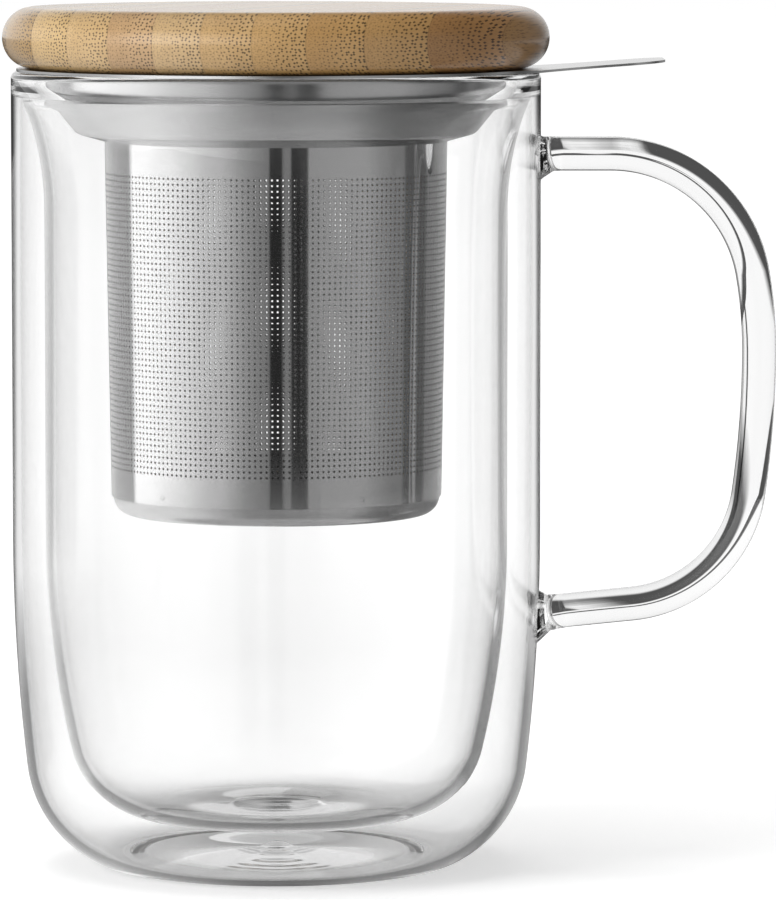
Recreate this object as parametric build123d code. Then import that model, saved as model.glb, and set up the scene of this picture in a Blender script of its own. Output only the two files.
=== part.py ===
from build123d import *
import os
from math import asin, cos, degrees, radians, sin, sqrt

# A double-walled glass tea mug with a lift-out strainer and a lift-off bamboo lid.
# Millimetres. +Z is up, +X points to the handle, and the origin is the centre of the foot ring.

# ---- Glass ----
RIM_HEIGHT = 130.6          # top of the glass
RIM_BAND = 4.0              # solid glass where the two walls are fused
RIM_ROUND = 0.9             # fire-polished edges of the rim
OUTER_RADIUS = 43.3
OUTER_WALL = 1.35
OUTER_SIDE_ARC = 335.0      # the side draws in on this radius
OUTER_SIDE_TURN = 6.6       # degrees
OUTER_HEEL_ARC = 19.8       # radius of the heel
OUTER_HEEL_TURN = 56.3      # degrees
OUTER_FOOT_ARC = 10.0       # radius from the heel to the foot ring
FOOT_WIDTH = 1.5            # flat ring that the mug stands on
FOOT_RECESS = 0.8           # the underside is raised inside the foot
FOOT_SLOPE = 2.5            # width of the step up to it
VENT_RADIUS = 2.4           # hole through which the air between the walls was let out
VENT_BEAD_HEIGHT = 0.9      # how far its glass seal stands into the gap

WALL_GAP = 4.05             # air between the two walls
INNER_WALL = 1.5
INNER_FLOOR = 7.6           # underside of the inner floor
INNER_SIDE_ARC = 150.0
INNER_SIDE_TURN = 13.4      # degrees
INNER_HEEL_ARC = 14.8
FLARE_HEIGHT = 18.6         # the inner wall flares out over this height to reach the rim
FLARE_CLEARANCE = 0.08      # between the flare's end and the outer wall
DIMPLE_RADIUS = 7.5         # pushed-up centre of the inner floor
DIMPLE_RISE = 0.8

# ---- Handle ----
HANDLE_DROP = 13.6          # rim to the middle of the upper arm
HANDLE_ROD = 2.8            # radius of the glass rod
HANDLE_ARM = 11.5           # straight part of the upper arm
HANDLE_TOP_ARC = 23.6       # middle of the rod, from the upper arm round to the lower
HANDLE_TOP_TURN = 80.0      # degrees
HANDLE_BACK_ARC = 74.0
HANDLE_BACK_TURN = 10.0     # degrees
HANDLE_LOWER_ARC = 168.0
HANDLE_LOWER_TURN = 8.0     # degrees
HANDLE_FOOT_ARC = 21.4
HANDLE_FOOT_TURN = 76.3     # degrees
GATHER_ARC = 2.0            # glass gathered round each end of the rod
GATHER_TURN = 65.0          # degrees

# ---- Strainer ----
SHEET = 0.4                 # collar and base cup
FLANGE_INSET = 0.9          # edge of the glass to the edge of the flange
COLLAR_CLEARANCE = 2.3      # inside of the rim to the collar's short wall
THROAT_DEPTH = 4.2          # flange top to the foot of the short wall
CONE_DRAW = 5.3             # the cone draws in by this much
LEDGE_WIDTH = 4.6           # cone to sleeve
LEDGE_FALL = 1.2            # the ledge slopes down towards the sleeve
SEAT_WIDTH = 0.4            # level part of the ledge beside the sleeve's upper edge
COLLAR_DEPTH = 11.8         # flange top to the ledge's underside
COLLAR_BEND = 2.0           # outside of the bend from cone to ledge
LIP_DEPTH = 3.0             # turned-down lip inside the sleeve
TAB_LENGTH = 21.0           # flange to the tip
TAB_WIDTH = 22.0
TAB_ROOT_ARC = 20.0
TAB_TIP_ARC = 6.0
TAB_BEND = 8.0
TAB_TILT = 4.2              # degrees

SLEEVE_SHEET = 0.3
SLEEVE_LENGTH = 58.0
SLEEVE_TAPER = 0.95         # its lower end is this much less in radius
PLAIN_BAND = 5.2            # unperforated at both ends
HOLE_ROWS = 7
HOLES_PER_ROW = 20
HOLE_SIZE = 2.8             # square holes
NEST_CLEARANCE = 0.03       # sleeve to the lip and to the base cup inside it

CUP_DROP = 3.1              # the base cup stands out below the sleeve
CUP_HEIGHT = 7.0
CUP_BEND = 3.0
DRAIN_RADIUS = 1.2
DRAIN_RING = 6              # drain holes round the middle one
DRAIN_PITCH = 9.0

# ---- Lid ----
LID_OVERHANG = 2.3          # past the flange
LID_THICKNESS = 10.0        # its edge is a full round
STRIP_COUNT = 12            # bamboo strips glued side by side; the two outer ones make up one width
LAST_STRIP = 2.2            # what is left of the outer strip on the handle's side
STRIP_ANGLE = -17.0         # direction across the strips, in degrees from +X
PLUG_CLEARANCE = 2.1        # collar to the lid's turned step
PLUG_DEPTH = 4.0
PLUG_CHAMFER = 0.5
GROOVE_DEPTH = 1.4
GROOVE_HEIGHT = 2.0
GROOVE_DROP = 1.0           # lid underside to the groove
SEAL_CLEARANCE = 0.3        # seal to collar
SEAL_CHAMFER = 0.5

# ---- Derived places ----
JOIN_HEIGHT = RIM_HEIGHT - RIM_BAND
CAVITY_RADIUS = OUTER_RADIUS - OUTER_WALL
INNER_RADIUS = CAVITY_RADIUS - WALL_GAP
FLARE_START = JOIN_HEIGHT - FLARE_HEIGHT
FLARE_OUT = WALL_GAP - FLARE_CLEARANCE
FLARE_ARC = (FLARE_HEIGHT**2 + FLARE_OUT**2) / (2 * FLARE_OUT)


def flare_radius(inset):
    """Radius of the inner wall's flare where it meets the rim; inset 0 is its outside."""
    arc = FLARE_ARC + inset
    return INNER_RADIUS - inset + arc - sqrt(arc**2 - FLARE_HEIGHT**2)


RIM_INNER_RADIUS = flare_radius(INNER_WALL)
FLANGE_TOP = RIM_HEIGHT + SHEET
FLANGE_RADIUS = OUTER_RADIUS - FLANGE_INSET
THROAT_RADIUS = RIM_INNER_RADIUS - COLLAR_CLEARANCE
CONE_BOTTOM_RADIUS = THROAT_RADIUS - CONE_DRAW
LEDGE_BOTTOM = FLANGE_TOP - COLLAR_DEPTH
SLEEVE_TOP_RADIUS = CONE_BOTTOM_RADIUS - LEDGE_WIDTH
SLEEVE_BOTTOM_RADIUS = SLEEVE_TOP_RADIUS - SLEEVE_TAPER
SLEEVE_BOTTOM = LEDGE_BOTTOM - SLEEVE_LENGTH
CUP_BOTTOM = SLEEVE_BOTTOM - CUP_DROP
LID_RADIUS = FLANGE_RADIUS + LID_OVERHANG
STRIP_WIDTH = 2 * LID_RADIUS / (STRIP_COUNT - 1)
PLUG_RADIUS = THROAT_RADIUS - SHEET - PLUG_CLEARANCE


def lathe(outline):
    """Turn a closed outline, drawn as radius and height, about the vertical axis."""
    return revolve(Plane.XZ * make_face(outline), Axis.Z)


def sheet_lathe(path, sheet):
    """Turn a bent sheet, given by the middle of its thickness, about the vertical axis."""
    return revolve(Plane.XZ * trace(path, sheet), Axis.Z)


def with_last_turn(*arcs, last_arc):
    """A chain of (radius, turn) arcs whose last one brings it from vertical to level."""
    return (*arcs, (last_arc, 90 - sum(turn for _, turn in arcs)))


OUTER_ARCS = with_last_turn(
    (OUTER_SIDE_ARC, OUTER_SIDE_TURN), (OUTER_HEEL_ARC, OUTER_HEEL_TURN), last_arc=OUTER_FOOT_ARC
)
INNER_ARCS = with_last_turn((INNER_SIDE_ARC, INNER_SIDE_TURN), last_arc=INNER_HEEL_ARC)


def fall(arcs):
    """Height that a chain of arcs falls on its way from vertical to level."""
    height, turned = 0, 0
    for radius, turn in arcs:
        height += radius * (sin(radians(turned + turn)) - sin(radians(turned)))
        turned += turn
    return height


def arc_chain(start, heading, arcs):
    """Edges of tangent arcs, each (radius, turn in degrees), that turn clockwise."""
    edges = []
    for radius, turn in arcs:
        edge = JernArc(start, heading, radius, -turn)
        edges.append(edge)
        start, heading = edge @ 1, edge % 1
    return edges


def wall_side(radius, floor, arcs, inset):
    """Side of a glass wall from its straight part down, and inwards to its floor."""
    start = (radius - inset, floor + fall(arcs))
    return arc_chain(start, (0, -1), [(arc - inset, turn) for arc, turn in arcs])


def outer_radius(height):
    """Outside radius of the glass at a height above its heel."""
    drop = max(0, fall(OUTER_ARCS) - height)
    return OUTER_RADIUS - OUTER_SIDE_ARC + sqrt(OUTER_SIDE_ARC**2 - drop**2)


def flare(inset):
    """Arc of the inner wall's flare, from its straight part up to the rim."""
    arc = FLARE_ARC + inset
    turn = degrees(asin(FLARE_HEIGHT / arc))
    return JernArc((INNER_RADIUS - inset, FLARE_START), (0, 1), arc, -turn)


def outer_wall():
    outside = wall_side(OUTER_RADIUS, 0, OUTER_ARCS, 0)
    inside = wall_side(OUTER_RADIUS, 0, OUTER_ARCS, OUTER_WALL)
    foot_outer = (outside[-1] @ 1).X
    foot_inner = foot_outer - FOOT_WIDTH
    step_end = foot_inner - FOOT_SLOPE
    base_top = FOOT_RECESS + OUTER_WALL
    underside = Polyline(
        outside[-1] @ 1,
        (foot_inner, 0),
        (step_end, FOOT_RECESS),
        (VENT_RADIUS, FOOT_RECESS),
        (VENT_RADIUS, base_top),
        (step_end, base_top),
        inside[-1] @ 1,
    )
    rim = Polyline(
        inside[0] @ 0,
        (CAVITY_RADIUS, JOIN_HEIGHT),
        (RIM_INNER_RADIUS, JOIN_HEIGHT),
        (RIM_INNER_RADIUS, RIM_HEIGHT),
        (OUTER_RADIUS, RIM_HEIGHT),
        outside[0] @ 0,
    )
    face = make_face([*outside, *inside, *underside.edges(), *rim.edges()])
    face = fillet(face.vertices().group_by(Axis.Y)[-1], RIM_ROUND)
    return revolve(Plane.XZ * face, Axis.Z)


def inner_wall():
    outside = wall_side(INNER_RADIUS, INNER_FLOOR, INNER_ARCS, 0)
    inside = wall_side(INNER_RADIUS, INNER_FLOOR, INNER_ARCS, INNER_WALL)
    flare_outside, flare_inside = flare(0), flare(INNER_WALL)
    floor_top = INNER_FLOOR + INNER_WALL
    dimple = ThreePointArc(
        (-DIMPLE_RADIUS, floor_top), (0, floor_top + DIMPLE_RISE), (DIMPLE_RADIUS, floor_top)
    ).trim(0.5, 1)
    return lathe([
        *outside,
        *inside,
        flare_outside,
        flare_inside,
        Line(flare_outside @ 0, outside[0] @ 0),
        Line(flare_inside @ 0, inside[0] @ 0),
        Line(flare_outside @ 1, flare_inside @ 1),
        Line(outside[-1] @ 1, (0, INNER_FLOOR)),
        Line((0, INNER_FLOOR), dimple @ 0),
        dimple,
        Line(dimple @ 1, inside[-1] @ 1),
    ])


def vent_seal():
    """Bead of glass that closes the vent in the outer wall's base."""
    plug = Pos(0, 0, FOOT_RECESS) * Cylinder(
        VENT_RADIUS, OUTER_WALL, align=(Align.CENTER, Align.CENTER, Align.MIN)
    )
    bead_arc = (VENT_RADIUS**2 + VENT_BEAD_HEIGHT**2) / (2 * VENT_BEAD_HEIGHT)
    top = FOOT_RECESS + OUTER_WALL
    bead = Pos(0, 0, top + VENT_BEAD_HEIGHT - bead_arc) * Sphere(bead_arc)
    above = Pos(0, 0, top) * Cylinder(
        VENT_RADIUS, bead_arc, align=(Align.CENTER, Align.CENTER, Align.MIN)
    )
    return plug + (bead & above)


def mug_outline():
    """The glass seen from outside, as one filled body that cuts what is fused to it."""
    outside = wall_side(OUTER_RADIUS, 0, OUTER_ARCS, 0)
    top = (OUTER_RADIUS, RIM_HEIGHT)
    return lathe([*outside, Polyline(outside[-1] @ 1, (0, 0), (0, RIM_HEIGHT), top, outside[0] @ 0)])


def weld_gather(root, heading):
    """Trumpet of glass round an arm's end; heading points from the wall along the arm."""
    turn = radians(GATHER_TURN)
    flank = JernArc((GATHER_ARC * sin(turn), HANDLE_ROD), (-1, 0), GATHER_ARC, -GATHER_TURN)
    skirt_end = flank @ 1 + (flank % 1) * (OUTER_WALL / cos(turn))
    axis_line = Polyline(skirt_end, (-OUTER_WALL, 0), ((flank @ 0).X, 0), flank @ 0)
    arm = Plane(root, x_dir=heading, z_dir=(0, -1, 0))
    outline = [flank, Line(flank @ 1, skirt_end), *axis_line.edges()]
    return revolve(arm * make_face(outline), Axis(root, heading))


def handle():
    """Bent glass rod, gathered where it is fused to the outer wall."""
    arm_height = RIM_HEIGHT - HANDLE_DROP
    upper_arm = Line((CAVITY_RADIUS, arm_height), (OUTER_RADIUS + HANDLE_ARM, arm_height))
    bends = arc_chain(upper_arm @ 1, (1, 0), [
        (HANDLE_TOP_ARC, HANDLE_TOP_TURN),
        (HANDLE_BACK_ARC, HANDLE_BACK_TURN),
        (HANDLE_LOWER_ARC, HANDLE_LOWER_TURN),
        (HANDLE_FOOT_ARC, HANDLE_FOOT_TURN),
    ])
    bend_end, heading = bends[-1] @ 1, bends[-1] % 1
    lower_root = bend_end + heading * ((OUTER_RADIUS - bend_end.X) / heading.X)
    lower_root += heading * ((outer_radius(lower_root.Y) - lower_root.X) / heading.X)
    lower_arm = Line(bend_end, lower_root + heading * OUTER_WALL)
    path = Plane.XZ * Wire([upper_arm, *bends, lower_arm])
    rod = sweep(Plane(path @ 0, z_dir=path % 0) * Circle(HANDLE_ROD), path)
    gathers = [
        weld_gather(path @ 0 + (path % 0) * OUTER_WALL, path % 0),
        weld_gather(path @ 1 - (path % 1) * OUTER_WALL, (path % 1) * -1),
    ]
    return rod + gathers - mug_outline()


def infuser_collar():
    """Flange with its thumb tab, short wall, cone, ledge and turned-down lip."""
    half = SHEET / 2
    middle = FLANGE_TOP - half
    seam_radius = (FLANGE_RADIUS + THROAT_RADIUS) / 2
    tab_reach = FLANGE_RADIUS + TAB_LENGTH
    tab = Pos(tab_reach / 2, 0) * Rectangle(tab_reach, TAB_WIDTH)
    tab = fillet(tab.vertices().group_by(Axis.X)[-1], TAB_TIP_ARC)
    plan = Circle(FLANGE_RADIUS) + tab
    root_corners = plan.vertices().filter_by(
        lambda corner: abs(abs(corner.Y) - TAB_WIDTH / 2) < half and corner.X < FLANGE_RADIUS
    )
    straight_end = tab_reach - TAB_TIP_ARC
    longest_root = (straight_end**2 - FLANGE_RADIUS**2 + TAB_WIDTH**2 / 4) / (
        2 * FLANGE_RADIUS - TAB_WIDTH
    )
    plan = fillet(root_corners, min(TAB_ROOT_ARC, longest_root - half)) - Circle(seam_radius)
    flat = Line((-tab_reach, middle), (FLANGE_RADIUS, middle))
    bend = JernArc(flat @ 1, (1, 0), TAB_BEND, TAB_TILT)
    rise = Line(bend @ 1, bend @ 1 + (bend % 1) * TAB_LENGTH)
    side = Plane.XZ * trace(Wire([flat, bend, rise]), SHEET)
    flange = extrude(side, tab_reach, both=True) & extrude(plan, 2 * FLANGE_TOP)

    lip_radius = sleeve_radius(LEDGE_BOTTOM - LIP_DEPTH) - SLEEVE_SHEET - NEST_CLEARANCE - half
    path = FilletPolyline(
        (seam_radius, middle),
        (THROAT_RADIUS - half, middle),
        (THROAT_RADIUS - half, FLANGE_TOP - THROAT_DEPTH),
        (CONE_BOTTOM_RADIUS, LEDGE_BOTTOM + LEDGE_FALL + half),
        (SLEEVE_TOP_RADIUS + SEAT_WIDTH, LEDGE_BOTTOM + half),
        (lip_radius, LEDGE_BOTTOM + half),
        (lip_radius, LEDGE_BOTTOM - LIP_DEPTH),
        radius=(0, 0, COLLAR_BEND - half, 0, 0),
    )
    return flange + sheet_lathe(path, SHEET)


def sleeve_radius(height):
    """Outside radius of the tapered sleeve."""
    return SLEEVE_BOTTOM_RADIUS + SLEEVE_TAPER * (height - SLEEVE_BOTTOM) / SLEEVE_LENGTH


def infuser_sleeve():
    """Rolled sleeve with rows of holes."""
    tube = lathe(Polyline(
        (SLEEVE_BOTTOM_RADIUS, SLEEVE_BOTTOM),
        (SLEEVE_TOP_RADIUS, LEDGE_BOTTOM),
        (SLEEVE_TOP_RADIUS - SLEEVE_SHEET, LEDGE_BOTTOM),
        (SLEEVE_BOTTOM_RADIUS - SLEEVE_SHEET, SLEEVE_BOTTOM),
        close=True,
    ))
    punch = Box(SLEEVE_BOTTOM_RADIUS, HOLE_SIZE, HOLE_SIZE)
    lowest = SLEEVE_BOTTOM + PLAIN_BAND + HOLE_SIZE / 2
    row_pitch = (SLEEVE_LENGTH - 2 * PLAIN_BAND - HOLE_SIZE) / (HOLE_ROWS - 1)
    cutters = []
    for row in range(HOLE_ROWS):
        for column in range(HOLES_PER_ROW):
            turn = 360 * column / HOLES_PER_ROW
            cutters.append(Rot(Z=turn) * Pos(SLEEVE_BOTTOM_RADIUS, 0, lowest + row * row_pitch) * punch)
    return tube - cutters


def infuser_base_cup():
    """Pressed cup that closes the sleeve, with drain holes in its floor."""
    half = SHEET / 2
    radius = SLEEVE_BOTTOM_RADIUS - SLEEVE_SHEET - NEST_CLEARANCE - half
    path = FilletPolyline(
        (radius, CUP_BOTTOM + CUP_HEIGHT),
        (radius, CUP_BOTTOM + half),
        (0, CUP_BOTTOM + half),
        radius=CUP_BEND - half,
    )
    drains = [
        Pos(spot.position + Vector(0, 0, CUP_BOTTOM + half)) * Cylinder(DRAIN_RADIUS, 2 * SHEET)
        for spot in (Location(), *PolarLocations(DRAIN_PITCH, DRAIN_RING))
    ]
    return sheet_lathe(path, SHEET) - drains


def lid_blank():
    """The turned lid before it is divided into its strips."""
    edge_arc = LID_THICKNESS / 2
    bottom = FLANGE_TOP
    groove_top = bottom - GROOVE_DROP
    groove_radius = PLUG_RADIUS - GROOVE_DEPTH
    flat_radius = LID_RADIUS - edge_arc
    edge = ThreePointArc(
        (flat_radius, bottom), (LID_RADIUS, bottom + edge_arc), (flat_radius, bottom + LID_THICKNESS)
    )
    rest = Polyline(
        edge @ 1,
        (0, bottom + LID_THICKNESS),
        (0, bottom - PLUG_DEPTH),
        (PLUG_RADIUS - PLUG_CHAMFER, bottom - PLUG_DEPTH),
        (PLUG_RADIUS, bottom - PLUG_DEPTH + PLUG_CHAMFER),
        (PLUG_RADIUS, groove_top - GROOVE_HEIGHT),
        (groove_radius, groove_top - GROOVE_HEIGHT),
        (groove_radius, groove_top),
        (PLUG_RADIUS, groove_top),
        (PLUG_RADIUS, bottom),
        edge @ 0,
    )
    return lathe([edge, *rest.edges()])


def lid_strips():
    """Bamboo strips of the lid, from the side away from the handle."""
    last_joint = LID_RADIUS - LAST_STRIP
    rest = lid_blank()
    strips = []
    for place in reversed(range(STRIP_COUNT - 1)):
        joint = Plane(Rot(Z=STRIP_ANGLE) * Pos(last_joint - STRIP_WIDTH * place, 0) * Rot(Y=90))
        strips.append(split(rest, bisect_by=joint, keep=Keep.BOTTOM))
        rest = split(rest, bisect_by=joint, keep=Keep.TOP)
    strips.append(rest)
    for number, strip in enumerate(strips):
        # a sliver of the plug that the groove cuts free of its strip stays glued to the next one
        whole, *slivers = strip.solids().sort_by(SortBy.VOLUME, reverse=True)
        if slivers:
            strips[number] = whole
            strips[number + 1 if number < STRIP_COUNT / 2 else number - 1] += slivers
    return strips


def lid_seal():
    """Silicone ring in the groove of the lid's plug."""
    top = FLANGE_TOP - GROOVE_DROP
    inner = PLUG_RADIUS - GROOVE_DEPTH
    outer = THROAT_RADIUS - SHEET - SEAL_CLEARANCE
    return lathe(Polyline(
        (inner, top),
        (outer - SEAL_CHAMFER, top),
        (outer, top - SEAL_CHAMFER),
        (outer, top - GROOVE_HEIGHT + SEAL_CHAMFER),
        (outer - SEAL_CHAMFER, top - GROOVE_HEIGHT),
        (inner, top - GROOVE_HEIGHT),
        close=True,
    ))


nodes = {
    "outer_wall": outer_wall(),
    "inner_wall": inner_wall(),
    "vent_seal": vent_seal(),
    "handle": handle(),
    "infuser_collar": infuser_collar(),
    "infuser_sleeve": infuser_sleeve(),
    "infuser_base_cup": infuser_base_cup(),
    "lid_seal": lid_seal(),
}
for number, strip in enumerate(lid_strips(), start=1):
    nodes[f"lid_strip_{number:02d}"] = strip

os.makedirs("parts", exist_ok=True)
for name, shape in nodes.items():
    export_step(shape, f"parts/{name}.step")
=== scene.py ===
from math import asin, atan2, cos, degrees, hypot, pi, radians, sin, sqrt

import bmesh
import bpy
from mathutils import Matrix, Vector


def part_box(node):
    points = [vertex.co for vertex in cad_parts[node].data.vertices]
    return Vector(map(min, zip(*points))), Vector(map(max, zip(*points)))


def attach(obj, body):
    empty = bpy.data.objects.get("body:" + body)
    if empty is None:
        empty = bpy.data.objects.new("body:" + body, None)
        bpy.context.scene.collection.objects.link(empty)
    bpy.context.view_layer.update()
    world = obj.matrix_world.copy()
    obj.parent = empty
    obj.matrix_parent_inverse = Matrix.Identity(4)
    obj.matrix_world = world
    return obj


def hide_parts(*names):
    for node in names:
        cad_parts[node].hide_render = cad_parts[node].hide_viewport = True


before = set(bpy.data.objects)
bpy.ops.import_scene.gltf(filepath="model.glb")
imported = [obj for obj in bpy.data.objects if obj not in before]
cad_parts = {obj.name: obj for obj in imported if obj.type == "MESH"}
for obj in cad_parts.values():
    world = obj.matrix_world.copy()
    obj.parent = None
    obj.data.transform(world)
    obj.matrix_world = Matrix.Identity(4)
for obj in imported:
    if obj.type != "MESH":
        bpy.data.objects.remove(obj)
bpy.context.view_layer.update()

MM = 0.001
scene = bpy.context.scene

# ---------------------------------------------------------------- camera
CAMERA_PLACE = (0.0183, -1.1157, 0.1665)
CAMERA_DOWN = 5.03  # degrees below level
CAMERA_LENS = 272.8  # mm
SENSOR_HEIGHT = 36.0  # mm

camera = bpy.data.objects.new("camera", bpy.data.cameras.new("camera"))
scene.collection.objects.link(camera)
camera.data.sensor_fit = "VERTICAL"
camera.data.sensor_height = SENSOR_HEIGHT
camera.data.lens = CAMERA_LENS
camera.data.clip_start = 0.05
camera.data.clip_end = 60.0
camera.location = CAMERA_PLACE
camera.rotation_euler = (radians(90 - CAMERA_DOWN), 0, 0)
scene.camera = camera
scene.view_settings.view_transform = "Standard"
# A ray goes round many times between the walls of the glass and in the strainer before it gets out.
scene.cycles.max_bounces = 160
scene.cycles.transmission_bounces = 48
scene.cycles.glossy_bounces = 128
scene.cycles.transparent_max_bounces = 32


# ---------------------------------------------------------------- node helpers
class Nodes:
    """The node tree of a material or world, with short ways to add the nodes that this script uses."""

    def __init__(self, name, kind="materials"):
        self.block = getattr(bpy.data, kind).new(name)
        self.block.use_nodes = True
        self.tree = self.block.node_tree
        self.shader = self.tree.nodes.get("Principled BSDF")

    def add(self, kind, **inputs):
        node = self.tree.nodes.new(kind)
        self.put(node, **inputs)
        return node

    def put(self, node, **inputs):
        """Set or link inputs. Each is given by its name with _ for a space, or as _ and its number."""
        for key, value in inputs.items():
            numbered = key[0] == "_" and key[1:].isdigit()
            socket = node.inputs[int(key[1:]) if numbered else key.replace("_", " ")]
            if isinstance(value, bpy.types.NodeSocket):
                self.tree.links.new(value, socket)
            else:
                socket.default_value = value

    def math(self, operation, a, b=0.0, c=None, clamp=False):
        node = self.tree.nodes.new("ShaderNodeMath")
        node.operation = operation
        node.use_clamp = clamp
        self.put(node, _0=a, _1=b)
        if c is not None:
            self.put(node, _2=c)
        return node.outputs[0]

    def ramp(self, value, *stops):
        """Colour ramp; each stop is (position, colour or grey)."""
        node = self.add("ShaderNodeValToRGB", _0=value)
        ramp = node.color_ramp
        while len(ramp.elements) < len(stops):
            ramp.elements.new(0.5)
        for element, (position, colour) in zip(ramp.elements, stops):
            element.position = position
            element.color = (*colour, 1) if isinstance(colour, tuple) else (colour, colour, colour, 1)
        return node.outputs[0]

    def mix(self, factor, a, b):
        """Colour a where the factor is 0 and b where it is 1."""
        node = self.tree.nodes.new("ShaderNodeMix")
        node.data_type = "RGBA"
        for socket, value in ((node.inputs[0], factor), (node.inputs[6], a), (node.inputs[7], b)):
            if isinstance(value, bpy.types.NodeSocket):
                self.tree.links.new(value, socket)
            elif isinstance(value, tuple):
                socket.default_value = (*value, 1)
            else:
                socket.default_value = value
        return node.outputs[2]

    def blend(self, factor, a, b):
        """Number a where the factor is 0 and b where it is 1."""
        rest = self.math("SUBTRACT", 1.0, factor)
        return self.math("ADD", self.math("MULTIPLY", a, rest), self.math("MULTIPLY", b, factor))

    def point(self, scale=(1, 1, 1), turn=0.0, shift=(0, 0, 0)):
        """Object coordinates in metres, turned about Z and then scaled."""
        coordinates = self.tree.nodes.new("ShaderNodeTexCoord").outputs["Object"]
        mapping = self.add("ShaderNodeMapping", Vector=coordinates)
        mapping.vector_type = "POINT"
        self.put(mapping, Rotation=(0, 0, turn), Scale=scale, Location=shift)
        return mapping.outputs[0]

    def split(self, vector):
        return self.add("ShaderNodeSeparateXYZ", Vector=vector).outputs

    def from_axis(self, x, y):
        """Distance from the Z axis."""
        return self.math("SQRT", self.math("ADD", self.math("MULTIPLY", x, x), self.math("MULTIPLY", y, y)))

    def noise(self, vector, scale=1.0, detail=2.0, roughness=0.5):
        node = self.add("ShaderNodeTexNoise", Vector=vector, Scale=scale, Detail=detail, Roughness=roughness)
        return node.outputs["Fac"]

    def bump(self, height, strength, distance):
        return self.add("ShaderNodeBump", Height=height, Strength=strength, Distance=distance).outputs[0]


# ---------------------------------------------------------------- mesh helpers
ON_AXIS = 1e-6  # mm; a point nearer to the axis than this lies on it


def new_object(name, mesh):
    thing = bpy.data.objects.new(name, mesh)
    scene.collection.objects.link(thing)
    return thing


def mesh_from(name, verts, faces, sharp=30.0):
    """Smooth mesh of points in mm, with edges over the sharp angle in degrees kept sharp."""
    mesh = bpy.data.meshes.new(name)
    mesh.from_pydata([Vector(v) * MM for v in verts], [], faces)
    mesh.validate()
    mesh.shade_smooth()
    mesh.set_sharp_from_angle(angle=radians(sharp))
    return mesh


def face_out(mesh, flip=False):
    """Turn the faces of a closed mesh outwards, or inwards for a hollow."""
    work = bmesh.new()
    work.from_mesh(mesh)
    bmesh.ops.recalc_face_normals(work, faces=work.faces)
    if flip:
        bmesh.ops.reverse_faces(work, faces=work.faces)
    work.to_mesh(mesh)
    work.free()


def chain(start, heading, *arcs):
    """Points of tangent arcs from a start. Each arc is (radius, turn in degrees, steps); a plus turn is
    anticlockwise, and a radius of 0 makes a straight run as long as the turn says."""
    points = [Vector(start)]
    angle = radians(heading)
    for radius, turn, steps in arcs:
        here = points[-1]
        if radius == 0:
            for step in range(1, steps + 1):
                points.append(here + Vector((cos(angle), sin(angle))) * turn * step / steps)
            continue
        side = 1 if turn > 0 else -1
        centre = here + Vector((-sin(angle), cos(angle))) * radius * side
        for step in range(1, steps + 1):
            a = angle + radians(turn) * step / steps
            points.append(centre + Vector((sin(a), -cos(a))) * radius * side)
        angle += radians(turn)
    return points


def rounded(points, corner, radius, steps=6):
    """Replace one corner of a polyline of 2-D points by an arc of that radius."""
    a, b, c = points[corner - 1], points[corner], points[corner + 1]
    u, v = (a - b).normalized(), (c - b).normalized()
    half = u.angle(v) / 2
    reach = radius / abs(sin(half) / cos(half))
    centre = b + (u + v).normalized() * (radius / sin(half))
    p, q = b + u * reach - centre, b + v * reach - centre
    a0, a1 = atan2(p.y, p.x), atan2(q.y, q.x)
    sweep = (a1 - a0 + pi) % (2 * pi) - pi
    angles = [a0 + sweep * s / steps for s in range(steps + 1)]
    return points[:corner] + [centre + Vector((cos(a), sin(a))) * radius for a in angles] + points[corner + 1:]


def lathe(profile, segments):
    """Verts and faces of a profile of (radius, height) turned about Z. A point on the axis is one pole."""
    verts, rows, faces = [], [], []
    for r, z in profile:
        if r < ON_AXIS:
            rows.append([len(verts)] * segments)
            verts.append((0, 0, z))
        else:
            rows.append(list(range(len(verts), len(verts) + segments)))
            angles = [2 * pi * k / segments for k in range(segments)]
            verts += [(r * cos(a), r * sin(a), z) for a in angles]
    for a, b in zip(rows, rows[1:]):
        for k in range(segments):
            n = (k + 1) % segments
            corners = [a[k], a[n], b[n], b[k]]
            face = [c for i, c in enumerate(corners) if c != corners[i - 1]]
            if len(face) > 2:
                faces.append(face)
    return verts, faces


def size_of(node):
    """Lower and upper corner of a CAD node's box, in mm."""
    low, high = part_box(node)
    return low / MM, high / MM


# ---------------------------------------------------------------- glass: sizes in mm
inner_low, inner_high = size_of("inner_wall")
RIM = size_of("outer_wall")[1].z
JOIN = inner_high.z  # height at which the inner wall is fused to the outer one
FLOOR = inner_low.z  # height of the inner wall's underside
OUTER = 43.3  # radius of the outer wall, outside
WALL = 1.35
OUTER_BEND = 54.96  # height at which the outer wall starts to turn in
OUTER_ARCS = ((335.0, -6.6, 10), (19.8, -56.3, 18), (10.0, -27.1, 10))
INNER = 37.9  # radius of the inner wall, on the cavity's side
INNER_WALL = 1.5
INNER_BEND = 46.34  # height above its own underside at which the inner wall does
INNER_ARCS = ((150.0, -13.4, 14), (14.8, -76.6, 24))
FLARE_HEIGHT = 18.6
FLARE_OUT = 3.97
FLARE_ARC = (FLARE_HEIGHT**2 + FLARE_OUT**2) / (2 * FLARE_OUT)
FLARE_STEPS = 24
RIM_ROUND, RIM_STEPS = 1.2, 12
FOOT_FLAT = 1.5  # width of the ring that the mug stands on
FOOT_RING = 4.0  # width of the whole foot, to where the underside is level
UNDERSIDE = 0.8  # height of the level underside
FOOT_ROUND, STEP_ROUND = 1.2, 3.0
CROWN, CROWN_HEIGHT = 7.5, 0.8  # radius and height of the raised middle of the well's floor
VENT_BEAD = ((0, 3.05), (1.2, 2.85), (2.2, 2.35), (2.9, 2.15))  # where the vent's bead stands in the cavity
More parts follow.
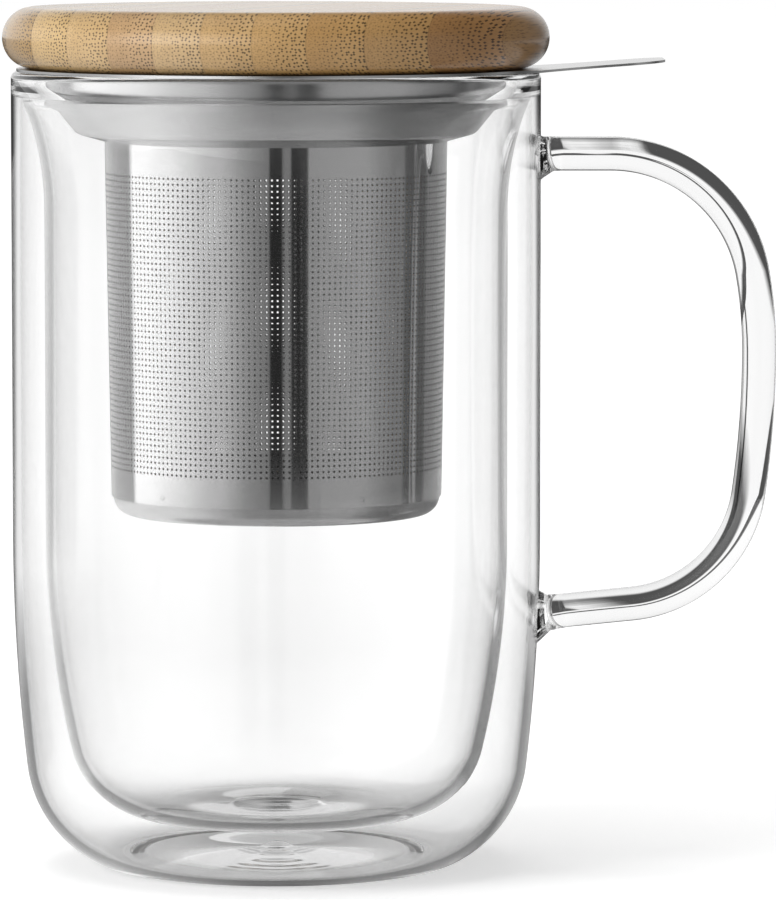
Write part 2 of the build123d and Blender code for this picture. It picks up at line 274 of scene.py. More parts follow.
CAVITY_EDGE = (0.03, 0.02)  # broken edge at the top of the cavity: across and down
OUTER_RINGS = (70, 90, 110)  # heights of rings on the straight parts
INNER_RINGS = (90, 70)
SEGMENTS = 256

ROD = 2.8  # radius of the handle's rod
ROD_SIDES = 48
HANDLE_START = (42.2, 117.0)  # middle of the rod inside the upper weld
HANDLE_RUNS = ((0, 12.6, 8), (23.6, -80, 40), (74, -10, 6), (168, -8, 8), (21.4, -76.3, 38))
HANDLE_END = 42.0  # radius of the rod's end inside the lower weld
HANDLE_END_STEPS = 6
WELD_FACE = OUTER - 0.1  # radius from which the welds are measured
UPPER_WELD = (0.5, 2.8)  # how far a weld's glass runs out along the rod: above it and below it
LOWER_WELD = (1.9, 2.7)
WELD_SIDES, WELD_LENGTH = 0.25, 2.5  # how far it swells to the sides, and over what length
WELD_LIMIT = 2.4  # the most that it swells
GLASS_SHARP = 40  # degrees


def bend(start, arcs, inset):
    """Points down a wall's bends, drawn at its outside, for a face that lies inset from it."""
    return chain(start, -90, *((radius - inset, turn, steps) for radius, turn, steps in arcs))


def outer_side(inset):
    """Outer wall from its straight part to the foot, or the cavity's side of it."""
    return bend((OUTER - inset, OUTER_BEND), OUTER_ARCS, inset)


def inner_side(inset):
    """Inner wall from its straight part to its floor: the cavity's side at inset 0, the well at its wall."""
    return bend((INNER - inset, FLOOR + INNER_BEND), INNER_ARCS, inset)


def flare(inset):
    """The inner wall's flare, from the rim down to the straight part."""
    arc = FLARE_ARC + inset
    turn = degrees(asin(FLARE_HEIGHT / arc))
    return chain((INNER - inset, JOIN - FLARE_HEIGHT), 90, (arc, -turn, FLARE_STEPS))[::-1]


def upright(radius, heights):
    return [Vector((radius, z)) for z in heights]


def outside_profile():
    """All that air touches, from the middle of the underside over the rim to the middle of the well."""
    side, well_top = outer_side(0), flare(INNER_WALL)
    foot, rim_edge = side[-1].x, (RIM_ROUND, 90, RIM_STEPS)
    bottom = [(foot, 0), (foot - FOOT_FLAT, 0), (foot - FOOT_RING, UNDERSIDE), (0, UNDERSIDE)]
    bottom = rounded([Vector(point) for point in bottom], 2, STEP_ROUND)
    bottom = rounded(bottom, 1, FOOT_ROUND)
    well_floor = FLOOR + INNER_WALL
    crown = [
        Vector((CROWN * cos(radians(a)), well_floor + CROWN_HEIGHT * sin(radians(a)) ** 2))
        for a in range(0, 91, 9)
    ]
    return (
        bottom[::-1]
        + side[::-1][1:]
        + upright(OUTER, OUTER_RINGS)
        + chain((OUTER, RIM - RIM_ROUND), 90, rim_edge)
        + chain((well_top[0].x + RIM_ROUND, RIM), 180, rim_edge)
        + well_top[1:]
        + upright(INNER - INNER_WALL, INNER_RINGS)
        + inner_side(INNER_WALL)
        + crown
    )


def cavity_profile():
    """The sealed gap between the walls, from the vent's bead up and down again to the inner floor."""
    across, down = CAVITY_EDGE
    return (
        [Vector(point) for point in VENT_BEAD]
        + outer_side(WALL)[::-1]
        + upright(OUTER - WALL, (*OUTER_RINGS, JOIN - down))
        + [Vector((OUTER - WALL - across, JOIN))]
        + flare(0)
        + upright(INNER, INNER_RINGS)
        + inner_side(0)
        + [Vector((0, FLOOR))]
    )


def handle_path():
    """Middle of the rod as (radius, height), from inside the upper weld to inside the lower one."""
    path = chain(HANDLE_START, 0, *HANDLE_RUNS)
    heading = sum(turn for radius, turn, _ in HANDLE_RUNS if radius)
    run = (path[-1].x - HANDLE_END) / -cos(radians(heading))
    return path + chain(path[-1], heading, (0, run, HANDLE_END_STEPS))[1:]


def gather(away, up, down, around):
    """How far the weld's glass stands out from the rod, at a distance from the wall."""
    reach = up + (down - up) * (0.5 - 0.5 * around)
    if away >= reach or reach <= 0:
        return 0.0
    away = max(away, 0.0)
    return reach - sqrt(reach**2 - (reach - away) ** 2)


def handle_mesh():
    path = handle_path()
    verts, faces = [], []
    for i, p in enumerate(path):
        before, after = path[max(i - 1, 0)], path[min(i + 1, len(path) - 1)]
        along = (after - before).normalized()
        out = Vector((-along.y, along.x))
        near_top = i < len(path) / 2
        up, down = UPPER_WELD if near_top else LOWER_WELD
        away = p.x - WELD_FACE
        for k in range(ROD_SIDES):
            a = 2 * pi * k / ROD_SIDES
            swell = gather(away, up, down, cos(a) if near_top else -cos(a))
            swell += WELD_SIDES * abs(sin(a)) * max(0.0, 1 - away / WELD_LENGTH)
            r = ROD + min(swell, WELD_LIMIT)
            verts.append((p.x + out.x * r * cos(a), r * sin(a), p.y + out.y * r * cos(a)))
    last = (len(path) - 1) * ROD_SIDES
    for here in range(0, last, ROD_SIDES):
        there = here + ROD_SIDES
        for k in range(ROD_SIDES):
            n = (k + 1) % ROD_SIDES
            faces.append([here + k, here + n, there + n, there + k])
    faces.append(list(range(ROD_SIDES)))
    faces.append(list(range(last, last + ROD_SIDES))[::-1])
    return mesh_from("handle_rod", verts, faces)


def make_glass():
    """One fused piece: the outside with its handle, and the cavity as a surface of its own inside it."""
    body_mesh = mesh_from("glass_outside", *lathe(outside_profile(), SEGMENTS))
    face_out(body_mesh)
    body = new_object("glass_body", body_mesh)
    rod_mesh = handle_mesh()
    face_out(rod_mesh)
    rod = new_object("rod", rod_mesh)
    join = body.modifiers.new("join", "BOOLEAN")
    join.operation = "UNION"
    join.solver = "EXACT"
    join.object = rod
    bpy.context.view_layer.update()
    fused = bpy.data.meshes.new_from_object(body.evaluated_get(bpy.context.evaluated_depsgraph_get()))
    cavity_mesh = mesh_from("glass_cavity", *lathe(cavity_profile(), SEGMENTS))
    face_out(cavity_mesh, flip=True)
    whole = bmesh.new()
    whole.from_mesh(fused)
    whole.from_mesh(cavity_mesh)
    mesh = bpy.data.meshes.new("mug_glass")
    whole.to_mesh(mesh)
    whole.free()
    mesh.shade_smooth()
    mesh.set_sharp_from_angle(angle=radians(GLASS_SHARP))
    bpy.data.objects.remove(body)
    bpy.data.objects.remove(rod)
    return new_object("mug_glass", mesh)


glass = make_glass()

# ---------------------------------------------------------------- perforated sleeve: sizes in mm
sleeve_low, sleeve_high = size_of("infuser_sleeve")
ROWS, COLUMNS, PANELS = 53, 189, 3
PERFORATED = (65.75, 114.45)  # heights between which the holes lie
HOLE = 0.205  # radius
HOLE_CORNERS = 8
FIRST_CORNER = -112.5  # degrees; the octagon's corner after which its lower side starts
SHEET = 0.3
TOP_R = sleeve_high.x
TAPER = 0.95
BOTTOM_R = TOP_R - TAPER
LEAN = TAPER / (sleeve_high.z - sleeve_low.z)
SLEEVE_SHARP = 40  # degrees
ON_CONE = 0.9  # cosine to the cone's normal over which a face lies on it

SPOTS = 5
SPOT_TURN = 31  # degrees from the front to the first spot weld
SPOT_HEIGHT = 1.2  # above the sleeve's lower edge
# Distance from the middle of a spot weld, and height above the sheet.
SPOT_PROFILE = ((0.0, 0.035), (0.16, 0.03), (0.24, 0.005), (0.32, 0.005), (0.38, 0.05), (0.46, -0.02))
SPOT_SIDES = 24


def sleeve_radius(z):
    return BOTTOM_R + LEAN * (z - sleeve_low.z)


def sleeve_panel(first, last):
    """Part of the rolled sheet between two columns of holes, each hole an octagon through the sheet."""
    low, high = PERFORATED
    heights = [sleeve_low.z, *(low + (high - low) * i / ROWS for i in range(ROWS + 1)), sleeve_high.z]
    rows = len(heights) - 1
    verts, faces, index = [], [], {}

    def vertex(column, z, *key):
        """Number of the point with this key, which ends in whether it is inside."""
        if key not in index:
            index[key] = len(verts)
            r = sleeve_radius(z) - (SHEET if key[-1] else 0)
            a = 2 * pi * column / COLUMNS
            verts.append((r * cos(a), r * sin(a), z))
        return index[key]

    def through(a, b, turn=False):
        """Face through the sheet from a to b, which are keys of points that both of its sides have."""
        quad = [index[(*a, False)], index[(*b, False)], index[(*b, True)], index[(*a, True)]]
        faces.append(quad[::-1] if turn else quad)

    for inside in (False, True):
        for row in range(rows):
            for column in range(first, last):
                ends = ((column, row), (column + 1, row), (column + 1, row + 1), (column, row + 1))
                corners = [vertex(c, heights[h], c, h, inside) for c, h in ends]
                if row in (0, rows - 1):
                    faces.append(corners[::-1] if inside else corners)
                    continue
                middle = (heights[row] + heights[row + 1]) / 2
                per_column = 2 * pi * sleeve_radius(middle) / COLUMNS
                ring = []
                for k in range(HOLE_CORNERS):
                    a = radians(FIRST_CORNER + 360 / HOLE_CORNERS * k)
                    across, up = HOLE * cos(a) / per_column, HOLE * sin(a)
                    ring.append(vertex(column + 0.5 + across, middle + up, column, row, k, inside))
                for side in range(4):
                    p, q = corners[side], corners[(side + 1) % 4]
                    m, n, o = ring[2 * side], ring[2 * side + 1], ring[(2 * side + 2) % HOLE_CORNERS]
                    quad, tri = [p, q, n, m], [q, o, n]
                    faces += [quad[::-1], tri[::-1]] if inside else [quad, tri]
    for row in range(1, rows - 1):
        for column in range(first, last):
            for k in range(HOLE_CORNERS):
                through((column, row, (k + 1) % HOLE_CORNERS), (column, row, k))
    for row in range(rows):
        for column, turn in ((first, False), (last, True)):
            through((column, row), (column, row + 1), turn)
    for h, turn in ((0, True), (rows, False)):
        for column in range(first, last):
            through((column, h), (column + 1, h), turn)
    return verts, faces


def roll_smooth(mesh):
    """Give both faces of the sheet the normals of the cone they lie on, so that its mirror image is even."""
    normals = []
    for face in mesh.polygons:
        for corner in face.loop_indices:
            x, y, _ = mesh.vertices[mesh.loops[corner].vertex_index].co
            across = Vector((x, y, -LEAN * hypot(x, y))).normalized()
            facing = face.normal.dot(across)
            normals.append(across if facing > ON_CONE else -across if facing < -ON_CONE else face.normal.copy())
    mesh.normals_split_custom_set(normals)


def spot_welds():
    """The flattened nuggets that hold the base cup in the sleeve, just above the sleeve's lower edge."""
    nugget, patch = lathe(SPOT_PROFILE, SPOT_SIDES)
    verts, faces = [], []
    height = sleeve_low.z + SPOT_HEIGHT
    r = sleeve_radius(height)
    for number in range(SPOTS):
        a = radians(-90 + SPOT_TURN + 360 / SPOTS * number)
        base = len(verts)
        for across, up, out in nugget:
            x, y = (r + out) * cos(a) - across * sin(a), (r + out) * sin(a) + across * cos(a)
            verts.append((x, y, height + up))
        faces += [[base + i for i in face] for face in patch]
    return mesh_from("spot_welds", verts, faces)


sleeve = []
for panel in range(PANELS):
    name = f"sleeve_panel_{panel + 1}"
    first, last = COLUMNS * panel // PANELS, COLUMNS * (panel + 1) // PANELS
    mesh = mesh_from(name, *sleeve_panel(first, last), sharp=SLEEVE_SHARP)
    roll_smooth(mesh)
    sleeve.append(new_object(name, mesh))

welds = new_object("spot_welds", spot_welds())
face_out(welds.data)


# ---------------------------------------------------------------- materials
def glass_material():
    """Clear glass with soft waves, longer up the wall than round it."""
    n = Nodes("clear_glass")
    waves = n.noise(n.point(scale=(1, 1, 0.45)), scale=60.0, detail=1.0)
    n.put(
        n.shader,
        Base_Color=(1, 1, 1, 1),
        Metallic=0.0,
        Roughness=0.0,
        IOR=1.473,
        Transmission_Weight=1.0,
        Normal=n.bump(waves, strength=0.05, distance=0.0004),
    )
    return n.block


def steel_material(name, roughness, streak):
    """Stainless sheet. The streaks run round the axis; streak is how strongly they show."""
    per_metre, per_radian, clouding = 5000.0, 3.0, 0.3
    n = Nodes(name)
    x, y, z = n.split(n.point())
    lines = n.add(
        "ShaderNodeCombineXYZ",
        X=n.math("MULTIPLY", n.from_axis(x, y), per_metre),
        Y=n.math("MULTIPLY", n.math("ARCTAN2", y, x), per_radian),
        Z=n.math("MULTIPLY", z, per_metre),
    ).outputs[0]
    fine = n.noise(lines, detail=3.0, roughness=0.6)
    cloud = n.noise(n.point(scale=(60, 60, 60)), detail=3.0)
    tone = n.math("ADD", n.math("MULTIPLY", fine, streak), n.math("MULTIPLY", cloud, clouding))
    n.put(
        n.shader,
        Base_Color=n.ramp(tone, (0.1, 0.58), (0.5, 0.64)),
        Metallic=1.0,
        Roughness=n.ramp(tone, (0.1, roughness * 0.8), (0.6, roughness * 1.2)),
    )
    return n.block


GRAIN_TURN = 17.0  # degrees between the strips and the Y axis
COARSE, FINE, FIBRES = 1600.0, 2200.0, 2600.0  # bundles and fibres to the metre
COARSE_SIZE, COARSE_GROWTH, FINE_SIZE = 0.30, 0.12, 0.28  # of the dots, as shares of their pitch
WANDER = 0.0008  # metres by which the bundles leave a straight line
GLUE_LINE = 0.00012  # metres
# How light or dark each mark is against the strip's light or dark brown.
HALO_TONE, FIBRE_TONE, DOT_TONE, GLUE_TONE = 1.45, 0.72, 0.18, 0.4


def bamboo_material(name, start, width, light, dark, seed):
    """One strip. Its fibre bundles run along it: coarse and dark at its far side, fine and faint at the near one.
    Start and width are in metres across the strips, and light and dark are its two browns, which already hold the
    lid's painted glare and painted shade."""
    n = Nodes(name)
    u, v, w = n.split(n.point(turn=radians(GRAIN_TURN)))
    across = n.math("DIVIDE", n.math("SUBTRACT", u, start), width, clamp=True)
    wander = n.noise(n.point(scale=(40, 40, 40), shift=(seed, 0, 0)), detail=1.0)
    u2 = n.math("MULTIPLY_ADD", wander, WANDER, u)

    def shade(colour, share):
        return tuple(c * share for c in colour)

    def section(scale, stretch=1.0, length=0.0):
        """Coordinates across the strip and up it, and along it where length isn't 0, each to the metre."""
        return n.add(
            "ShaderNodeCombineXYZ",
            X=n.math("MULTIPLY_ADD", u2, scale, seed),
            Y=n.math("MULTIPLY", w, scale * stretch),
            Z=n.math("MULTIPLY", v, length),
        ).outputs[0]

    def bundles(scale, size):
        """The dots of the bundles' cut ends, and the halo round each."""
        cells = n.tree.nodes.new("ShaderNodeTexVoronoi")
        cells.voronoi_dimensions = "2D"
        cells.distance = "MANHATTAN"
        n.put(cells, Vector=section(scale, 1.1), Scale=1.0, Randomness=0.62)
        away = cells.outputs["Distance"]
        dot = n.math("MULTIPLY", n.math("SUBTRACT", size, away), 7.0, clamp=True)
        return dot, n.math("SUBTRACT", 1.0, n.math("MULTIPLY", away, 1.7), clamp=True)

    coarse, halo = bundles(COARSE, n.math("MULTIPLY_ADD", across, COARSE_GROWTH, COARSE_SIZE))
    fine, _ = bundles(FINE, FINE_SIZE)
    coarse = n.math("MULTIPLY", coarse, n.ramp(across, (0.0, 0.25), (0.25, 0.6), (0.6, 0.95), (1.0, 1.0)))
    fine = n.math("MULTIPLY", fine, n.ramp(across, (0.0, 0.5), (0.4, 0.3), (0.7, 0.0)))
    dots = n.math("MAXIMUM", coarse, fine)
    fibre = n.noise(section(FIBRES, length=30.0), detail=3.0)
    broad = n.noise(section(170.0, 0.5, length=9.0))
    base = n.mix(n.math("MULTIPLY_ADD", broad, 1.8, -0.5, clamp=True), light, dark)
    base = n.mix(n.math("MULTIPLY", n.math("MULTIPLY", halo, across), 0.4), base, shade(light, HALO_TONE))
    base = n.mix(n.math("MULTIPLY_ADD", fibre, 0.8, -0.2, clamp=True), base, shade(dark, FIBRE_TONE))
    colour = n.mix(dots, base, shade(dark, DOT_TONE))
    edge = n.math("MINIMUM", across, n.math("SUBTRACT", 1.0, across))
    line = n.math("SUBTRACT", 1.0, n.math("MULTIPLY", edge, width / GLUE_LINE), clamp=True)
    colour = n.mix(n.math("MULTIPLY", line, 0.4), colour, shade(dark, GLUE_TONE))
    relief = n.math("SUBTRACT", n.math("MULTIPLY", fibre, 0.4), n.math("MULTIPLY", dots, 0.6))
    n.put(
        n.shader,
        Base_Color=colour,
        Roughness=n.ramp(fibre, (0.3, 0.42), (0.7, 0.58)),
        Coat_Weight=1.0,
        Coat_Roughness=0.2,
        Normal=n.bump(relief, strength=0.25, distance=0.00005),
    )
    return n.block


def silicone_material():
    n = Nodes("silicone")
    cloud = n.noise(n.point(scale=(300, 300, 300)))
    n.put(
        n.shader,
        Base_Color=n.ramp(cloud, (0.3, (0.74, 0.74, 0.71)), (0.7, (0.82, 0.82, 0.79))),
        Roughness=n.ramp(cloud, (0.3, 0.48), (0.7, 0.58)),
    )
    return n.block


def dress(thing, material):
    thing.data.materials.clear()
    thing.data.materials.append(material)


dress(glass, glass_material())
sleeve_steel = steel_material("rolled_steel", roughness=0.055, streak=0.15)
for piece in (*sleeve, welds):
    dress(piece, sleeve_steel)
pressed_steel = steel_material("pressed_steel", roughness=0.22, streak=0.2)
for name in ("infuser_collar", "infuser_base_cup"):
    dress(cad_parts[name], pressed_steel)
dress(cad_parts["lid_seal"], silicone_material())

# The lid's strips from left to right, each with its light and its dark brown. These are partly the strips' own
# tones and partly painted light: the browns are made lighter over the middle strips, from the third to the
# eighth, as a painted glare from the soft light at the front left, and darker towards the right end as painted
# shade on the side turned away from that light.
STRIP_BROWNS_WITH_PAINTED_LIGHT = (
    ((0.41, 0.245, 0.068), (0.32, 0.175, 0.042)),
    ((0.48, 0.295, 0.10), (0.38, 0.22, 0.065)),
    ((0.66, 0.45, 0.205), (0.53, 0.34, 0.14)),
    ((0.68, 0.47, 0.235), (0.54, 0.35, 0.155)),
    ((0.60, 0.39, 0.20), (0.45, 0.275, 0.125)),
    ((0.67, 0.46, 0.24), (0.53, 0.35, 0.16)),
    ((0.62, 0.40, 0.175), (0.49, 0.30, 0.12)),
    ((0.62, 0.385, 0.155), (0.49, 0.29, 0.105)),
    ((0.58, 0.345, 0.125), (0.46, 0.255, 0.085)),
    ((0.56, 0.33, 0.12), (0.45, 0.245, 0.08)),
    ((0.45, 0.235, 0.082), (0.35, 0.17, 0.053)),
    ((0.40, 0.215, 0.07), (0.31, 0.16, 0.05)),
)
LID_R = 44.7  # mm
LAST_STRIP = 2.2  # mm; what is left of the outer strip at the handle's side
STRIP_WIDTHS = len(STRIP_BROWNS_WITH_PAINTED_LIGHT) - 1  # across the lid, because the two outer strips make up one width
STRIP = 2 * LID_R / STRIP_WIDTHS
SEED_STEP = 37.0  # keeps the strips' patterns apart
for number, (light, dark) in enumerate(STRIP_BROWNS_WITH_PAINTED_LIGHT):
    label = f"{number + 1:02d}"
    start = (LID_R - LAST_STRIP - STRIP * (STRIP_WIDTHS - number)) * MM
    bamboo = bamboo_material(f"bamboo_{label}", start, STRIP * MM, light, dark, SEED_STEP * number)
    dress(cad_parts[f"lid_strip_{label}"], bamboo)

# ---------------------------------------------------------------- who rides on what
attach(glass, "mug")
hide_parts("outer_wall", "inner_wall", "vent_seal", "handle")
for piece in (*sleeve, welds):
    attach(piece, "infuser")
for piece in sleeve:
    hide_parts("infuser_sleeve")

# ---------------------------------------------------------------- stage: what mirrors and glass are shown
# Each map gives levels by direction in degrees: 0 is towards the camera, 90 to the right, 180 behind.
# A level of 1 is white. A few cards are brighter, as lamps are, and only mirrors see them.
# The studio's walls, and the table far from the mug, in the steel.
STEEL_WALLS = (
    (-180, 0.08), (-168, 0.10), (-164, 0.85), (-150, 0.80), (-145, 0.75), (-114, 0.50), (-109, 2.00), (-92, 1.95),
    (-68, 1.41), (-46, 0.89), (-35, 0.80), (-21, 0.48), (-10, 0.33), (-4, 0.28), (-3.2, 0.02), (5, 0.02),
    (5.8, 0.30), (10, 0.30), (10.6, 0.02), (21, 0.02), (22, 0.45), (62, 0.52), (85, 0.28), (94, 0.26),
    (96, 0.10), (104, 0.08), (108, 0.50), (110, 0.08), (118, 0.10), (122, 0.28), (163, 0.55), (180, 0.08),
)
# The table round the mug, in the steel.
STEEL_TABLE = (
    (-180, 1.0), (-120, 1.4), (-66, 1.25), (-20, 0.36), (10, 0.33), (35, 0.44), (55, 0.42), (72, 0.12),
    (90, 0.06), (150, 0.06), (180, 0.4),
)
# The table, where glass turns a ray inside it: dark in front and in a slit behind, which draws the edges,
# between white cards.
EDGE_SLIT = (
    (-180, 0.10), (-163, 0.12), (-156, 1.0), (-115, 1.0), (-95, 0.04), (95, 0.04), (115, 1.0), (156, 1.0),
    (163, 0.12), (180, 0.10),
)
# The same once a ray has passed both walls, with a wider and softer slit.
INNER_SLIT = (
    (-180, 0.25), (-148, 0.35), (-142, 1.0), (-115, 1.0), (-95, 0.04), (95, 0.04), (115, 1.0), (142, 1.0),
    (148, 0.35), (180, 0.25),
)
# The sky for the same rays: white behind, dark in front.
SKY = ((-180, 1.0), (-115, 1.0), (-95, 0.06), (95, 0.06), (115, 1.0), (180, 1.0))
# The sky and the table in surfaces that a ray meets before any glass: lit at the front left as well.
SKY_OUTSIDE = (
    (-180, 1.0), (-115, 1.0), (-95, 0.55), (-60, 0.85), (-25, 0.60), (-8, 0.20), (6, 0.13), (30, 0.42),
    (60, 0.34), (95, 0.08), (150, 0.12), (174, 0.9), (180, 1.0),
)
TABLE_OUTSIDE = (
    (-180, 0.04), (-163, 0.05), (-156, 0.4), (-110, 0.5), (-60, 0.85), (-25, 0.60), (-8, 0.20), (6, 0.13),
    (30, 0.42), (60, 0.34), (95, 0.08), (115, 0.4), (156, 0.4), (163, 0.05), (180, 0.04),
)
# The big soft light at the front left, as varnish, glass and outer steel mirror it.
SOFT_LIGHT = ((-180, 0.0), (-75, 0.0), (-55, 1.0), (-25, 1.0), (0, 0.0), (180, 0.0))
# What shows straight through the handle's rod: white, with grey cards at the sides, and on the table one
# narrow dark strip behind on the right.
ROD_FAR = (
    (-180, 1.0), (-129, 1.0), (-124, 0.45), (-95, 0.45), (-85, 1.0), (85, 1.0), (95, 0.5), (124, 0.5),
    (129, 1.0), (140, 1.0), (141, 0.06), (145, 0.06), (146, 1.0), (180, 1.0),
)
ROD_SKY = (
    (-180, 1.0), (-129, 1.0), (-124, 0.45), (-95, 0.45), (-85, 1.0), (85, 1.0), (95, 0.3), (124, 0.3),
    (129, 1.0), (180, 1.0),
)
BRIGHTEST = 2.0  # the maps are stored as shares of this, so that their swatches stay between 0 and 1


def by_direction(n, coordinates, levels):
    x, y, _ = n.split(coordinates)
    azimuth = n.math("DIVIDE", n.math("ARCTAN2", x, n.math("MULTIPLY", y, -1.0)), 2 * pi)
    stops = [(degree / 360 + 0.5, level / BRIGHTEST) for degree, level in levels]
    return n.math("MULTIPLY", n.ramp(n.math("ADD", azimuth, 0.5), *stops), BRIGHTEST)


# Faces of glass that a ray has passed: two go through the rod, four through both walls, and eight or more
# in and out again. Half a face tells whole numbers apart.
ROD_FACES, WALL_FACES, TWICE_THROUGH = 2.0, 4.0, 8.0
HALF = 0.5
# Mirrors after which a ray is lost between the walls, and trapped in the strainer or a weld.
LOST, TRAPPED = 3.5, 8.5


class Rays:
    """Weights from 0 to 1 that say which way a ray has come."""

    def __init__(self, n):
        path = n.tree.nodes.new("ShaderNodeLightPath").outputs
        through = path["Transmission Depth"]
        spread = n.math("MINIMUM", path["Diffuse Depth"], 1.0)
        met = n.math("MINIMUM", path["Glossy Depth"], 1.0)
        mirrored = n.math("MULTIPLY", met, n.math("SUBTRACT", 1.0, spread))
        both_walls = n.math(
            "MAXIMUM",
            n.math("GREATER_THAN", through, TWICE_THROUGH - HALF),
            n.math("COMPARE", through, WALL_FACES, HALF),
        )
        self.steel = n.math("MULTIPLY", mirrored, both_walls)
        self.turned = n.math("SUBTRACT", mirrored, self.steel)
        self.direct = path["Is Camera Ray"]
        self.through = n.math("MULTIPLY", path["Is Transmission Ray"], n.math("SUBTRACT", 1.0, mirrored))
        self.seen = n.math("ADD", self.direct, self.through)
        self.inner = n.math("GREATER_THAN", through, WALL_FACES + HALF)
        self.outside = n.math("LESS_THAN", through, HALF)
        self.lost = n.math("GREATER_THAN", path["Glossy Depth"], LOST)
        self.trapped = n.math("GREATER_THAN", path["Glossy Depth"], TRAPPED)
        self.rod = n.math("MULTIPLY", self.seen, n.math("COMPARE", through, ROD_FACES, HALF))


def floor_paper():
    """White paper with a soft shadow, and the cards and slits that glass and steel see in its place.
    Places are in metres, and those across the view have 0.5 added, because a ramp starts at 0."""
    n = Nodes("floor_paper")
    rays = Rays(n)
    place = n.point()
    x, y, _ = n.split(place)
    away = n.from_axis(x, y)
    half_away, quarter_away = n.math("DIVIDE", away, 2.0), n.math("DIVIDE", away, 4.0)

    def between(near, far):
        """0 up to the near distance from the mug's axis, and 1 from the far one."""
        return n.ramp(away, (near, 0.0), (far, 1.0))

    def sideways(lean):
        """Place across the view, along lines that lean to the right with the distance."""
        return n.math("MULTIPLY_ADD", y, -lean, n.math("ADD", x, 0.5))

    glow = n.ramp(half_away, (0.1, 0.50), (0.8, 0.72))
    glow_through_glass = n.ramp(half_away, (0.025, 0.55), (0.15, 0.45), (0.3, 0.62), (0.8, 0.80))
    n.put(
        n.shader,
        Base_Color=n.ramp(n.noise(n.point(scale=(30, 30, 30))), (0.3, 0.80), (0.7, 0.82)),
        Roughness=0.7,
        Specular_IOR_Level=0.0,
        Emission_Color=(1, 1, 1, 1),
        Emission_Strength=n.math(
            "MULTIPLY_ADD", rays.direct, glow, n.math("MULTIPLY", rays.through, glow_through_glass)
        ),
    )

    under_mug, far_edges = 0.6, 0.15
    steel = n.blend(between(0.045, 0.06), under_mug, by_direction(n, place, STEEL_TABLE))
    steel = n.blend(between(0.3, 0.6), steel, by_direction(n, place, STEEL_WALLS))
    edges = n.blend(rays.inner, by_direction(n, place, EDGE_SLIT), by_direction(n, place, INNER_SLIT))
    edges = n.blend(between(0.2, 0.45), far_edges, edges)
    edges = n.blend(rays.outside, edges, by_direction(n, place, TABLE_OUTSIDE))
    level = n.blend(rays.turned, steel, n.math("MAXIMUM", edges, rays.lost))

    # The handle's upper bend shows a bright, streaked stretch of the table beside a dark one.
    grain = n.noise(n.point(scale=(8, 70, 1)), detail=3.0, roughness=0.6)
    streaks = n.math("MULTIPLY_ADD", grain, 2.2, -0.30, clamp=True)
    along = sideways(0.032)
    streaks = n.math("MAXIMUM", streaks, n.ramp(along, (0.546, 0.9), (0.556, 0.0)))
    strip = n.ramp(along, (0.538, 0.0), (0.544, 1.0), (0.552, 1.0), (0.560, 0.0))
    lit = n.math("MULTIPLY", strip, n.ramp(y, (0.10, 0.35), (0.17, 1.0)))
    # Near the mug it is dark on the far side of a slanting line, and pale and grey on the near one.
    beside = n.math("MULTIPLY_ADD", n.math("MULTIPLY_ADD", x, -0.6, y), 0.5, 0.5)
    rod_near = n.ramp(
        beside, (0.15, 0.95), (0.25, 0.42), (0.45, 0.42), (0.475, 0.95), (0.5175, 0.95), (0.525, 0.08)
    )
    # Further off it is white, but for what the upper arm shows.
    arm = n.ramp(sideways(0.046), (0.555, 0.92), (0.570, 0.0))
    arm = n.math("MULTIPLY", arm, n.ramp(quarter_away, (0.46, 0.0), (0.515, 1.0)))
    rod_far = n.math("SUBTRACT", n.ramp(away, (0.50, 0.08), (0.70, 1.0)), arm)
    rod_table = n.math("MAXIMUM", n.math("MAXIMUM", rod_near, rod_far), n.math("MULTIPLY", lit, streaks))
    rod_sides = n.blend(between(0.2, 0.35), 1.0, by_direction(n, place, ROD_FAR))
    level = n.blend(rays.rod, level, n.math("MULTIPLY", rod_table, rod_sides))

    cards = n.add("ShaderNodeEmission", Strength=n.math("MAXIMUM", level, rays.trapped))
    both = n.tree.nodes.new("ShaderNodeMixShader")
    special = n.math("ADD", n.math("ADD", rays.steel, rays.turned), rays.rod, clamp=True)
    n.put(both, _0=special, _1=n.shader.outputs[0], _2=cards.outputs[0])
    n.put(n.tree.nodes["Material Output"], Surface=both.outputs[0])
    return n.block


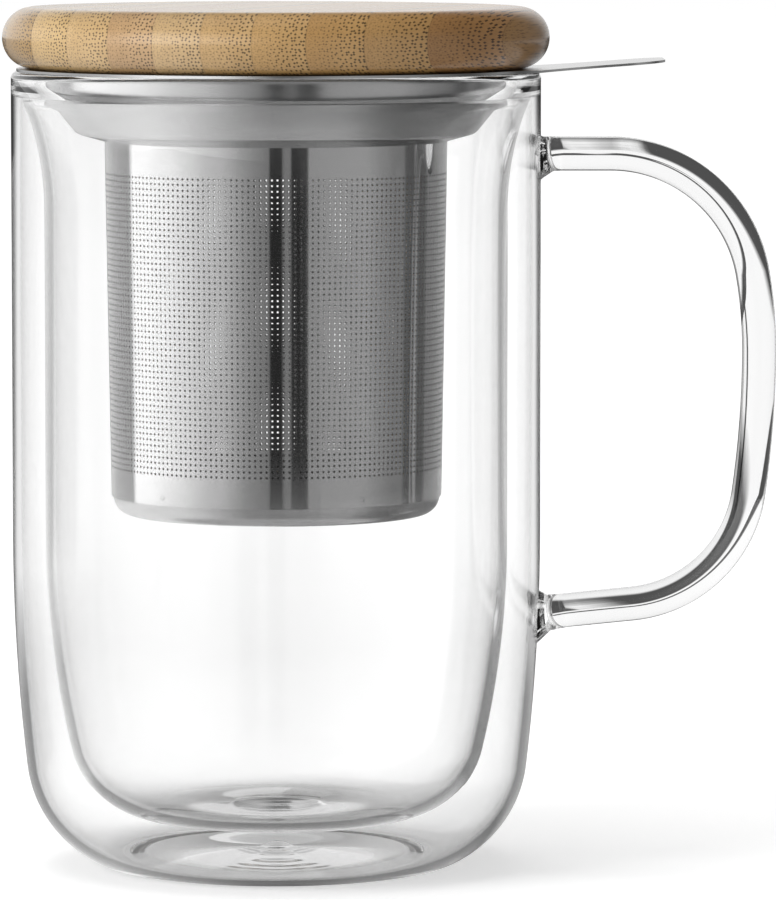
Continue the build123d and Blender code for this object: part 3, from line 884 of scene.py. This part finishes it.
def studio():
    """A white room that lights the object evenly, and what glass and steel see of it above the table.
    Heights are sines of the angle above the horizon."""
    background, in_glass, ambient = 0.62, -0.04, 0.38
    n = Nodes("studio", "worlds")
    rays = Rays(n)
    direction = n.tree.nodes.new("ShaderNodeTexCoord").outputs["Generated"]
    height = n.split(direction)[2]
    level = n.math("MULTIPLY_ADD", rays.seen, background, n.math("MULTIPLY_ADD", rays.through, in_glass, ambient))
    rod_sky = n.ramp(height, (0.012, 0.08), (0.03, 1.0), (0.80, 1.0), (0.86, 0.12))
    rod_sky = n.math("MULTIPLY", by_direction(n, direction, ROD_SKY), rod_sky)
    level = n.blend(rays.rod, level, rod_sky)
    sky = n.blend(rays.outside, by_direction(n, direction, SKY), by_direction(n, direction, SKY_OUTSIDE))
    sky = n.math("MULTIPLY", sky, n.ramp(height, (0.25, 1.0), (0.6, 0.1)))
    glare = n.ramp(height, (0.0, 1.7), (0.35, 1.7), (0.75, 0.0))
    glare = n.math("MULTIPLY", by_direction(n, direction, SOFT_LIGHT), glare)
    level = n.blend(rays.turned, level, n.math("MAXIMUM", n.math("ADD", sky, glare), rays.lost))
    walls = n.math("MAXIMUM", by_direction(n, direction, STEEL_WALLS), rays.trapped)
    level = n.blend(rays.steel, level, walls)
    n.put(n.tree.nodes["Background"], Color=(1, 1, 1, 1), Strength=level)
    return n.block


FLOOR_SIDE = 12.0  # metres
bpy.ops.mesh.primitive_plane_add(size=FLOOR_SIDE)
plane = bpy.context.object
plane.name = plane.data.name = "floor"
dress(plane, floor_paper())
scene.world = studio()

# ---------------------------------------------------------------- lamps
LIT_POINT = (0, 0, 0.1)


def softbox(name, size, location, watts):
    """Soft rectangular lamp turned to the mug, which mirrors and glass don't show."""
    data = bpy.data.lights.new(name, "AREA")
    data.shape = "RECTANGLE"
    data.size, data.size_y = size
    data.energy = watts
    lamp = bpy.data.objects.new(name, data)
    scene.collection.objects.link(lamp)
    lamp.location = location
    lamp.rotation_euler = (Vector(LIT_POINT) - Vector(location)).to_track_quat("-Z", "Y").to_euler()
    lamp.visible_camera = lamp.visible_glossy = lamp.visible_transmission = False


softbox("softbox_left", size=(0.9, 1.3), location=(-1.3, -0.95, 0.55), watts=22)
softbox("softbox_top", size=(1.4, 1.0), location=(-0.2, 0.1, 1.7), watts=10)
